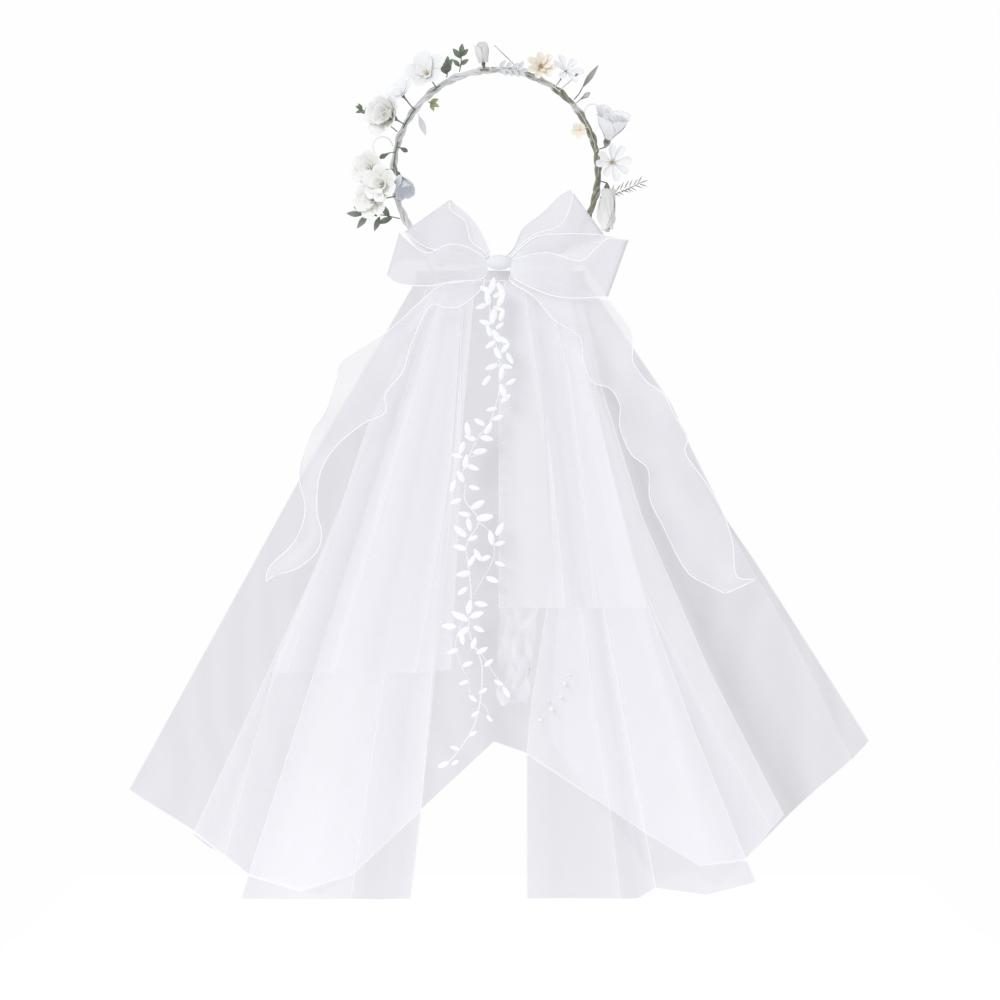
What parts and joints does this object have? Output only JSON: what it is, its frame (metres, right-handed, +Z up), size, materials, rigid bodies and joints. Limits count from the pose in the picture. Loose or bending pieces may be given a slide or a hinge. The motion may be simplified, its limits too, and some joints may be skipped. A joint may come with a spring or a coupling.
{
  "type": "flower crown",
  "caption": "Head circlet of silk flowers and leaves on a wrapped wire hoop, with an organza bow, ribbon tails, a pleated tulle veil and a hanging embroidered vine.",
  "frame": {"origin": "centre of the circlet, in the plane of its wire", "axes": "+X to the right, +Z up with the veil hanging down, flowers and bow face -Y"},
  "size_m": [0.67, 0.0667, 0.7694],
  "materials": {
    "white_silk": "matt silk-look petals, cool white",
    "stamens": "dusty cream and peach",
    "stem_tape": "green floral tape, matt",
    "organza": "sheer stiff ribbon with stitched edges, slight sheen",
    "cream_silk": "matt silk-look petals, cream",
    "green_leaf": "coated cloth leaf, veined",
    "grey_leaf": "coated cloth leaf, grey green",
    "hoop_wire": "thin galvanised wire",
    "hoop_wrap": "white lace thread over crepe floral tape, matt",
    "olive_leaf": "coated cloth leaf, yellow green",
    "tulle": "sheer fine net",
    "lace": "embroidered white thread"
  },
  "bodies": {
    "crown": {"bell_left_petals": "white_silk", "blossom_behind_rose_petals": "white_silk", "blossom_top_left_centre": "stamens", "blossom_top_left_petals": "white_silk", "blossom_top_left_stem": "stem_tape", "cluster_blossom_a_petals": "white_silk", "cluster_blossom_b_petals": "white_silk", "cluster_blossom_c_petals": "white_silk", "cluster_stems": "stem_tape", "daisy_right_centre": "stamens", "daisy_right_petals": "white_silk", "daisy_right_stem": "stem_tape", "daisy_top_right_centre": "stamens", "daisy_top_right_petals": "cream_silk", "dark_sprig_left": "green_leaf", "dark_sprig_top": "green_leaf", "fern_right": "grey_leaf", "grey_leaf_right": "grey_leaf", "hanging_bud_right": "white_silk", "hanging_bud_right_stem": "stem_tape", "hoop_wire": "hoop_wire", "hoop_wrap": "hoop_wrap", "leaf_sprig_left": "green_leaf", "leaf_sprig_top": "green_leaf", "magnolia_bunch_stems": "stem_tape", "magnolia_right_petals": "white_silk", "olive_leaf_left": "olive_leaf", "rose_bunch_stems": "stem_tape", "rose_left_centre": "stamens", "rose_left_petals": "white_silk", "rosebud_top": "cream_silk", "rosebud_top_stem": "stem_tape", "small_flower_inside_right_petals": "cream_silk", "star_flower_top_right_petals": "white_silk", "tendril_left": "white_silk", "tendril_right": "white_silk", "top_right_stems": "stem_tape", "white_leaf_inside_left": "white_silk", "white_sprig_top": "white_silk"},
    "bow_and_veil": {"bow_knot": "organza", "loop_lower_left": "organza", "loop_lower_right": "organza", "loop_upper_left": "organza", "loop_upper_right": "organza", "tail_roots": "organza", "tie_ribbon": "organza", "veil_back": "tulle", "veil_front_left": "tulle", "veil_front_right": "tulle", "veil_header": "tulle", "veil_middle_left": "tulle", "veil_middle_right": "tulle", "veil_short_left": "tulle", "veil_short_right": "tulle"},
    "left_tail": {"tail_left": "organza"},
    "right_tail": {"tail_right": "organza"},
    "vine": {"vine_stem": "lace", "vine_leaves_upper": "lace", "vine_leaves_lower": "lace"}
  },
  "joints": [
    {"name": "veil_swing", "type": "hinge", "parent": "crown", "child": "bow_and_veil", "pos_m": [0, 0, -0.08222], "axis": [1, 0, 0], "range_deg": [0, 90]},
    {"name": "left_tail_swing", "type": "hinge", "parent": "bow_and_veil", "child": "left_tail", "pos_m": [-0.0565, -0.0107, -0.11722], "axis": [-1, 0, 0], "range_deg": [0, 40]},
    {"name": "right_tail_swing", "type": "hinge", "parent": "bow_and_veil", "child": "right_tail", "pos_m": [0.0685, -0.0107, -0.11722], "axis": [-1, 0, 0], "range_deg": [0, 40]},
    {"name": "vine_swing", "type": "hinge", "parent": "bow_and_veil", "child": "vine", "pos_m": [-0.002, -0.014, -0.0997], "axis": [-1, 0, 0], "range_deg": [0, 30]}
  ]
}
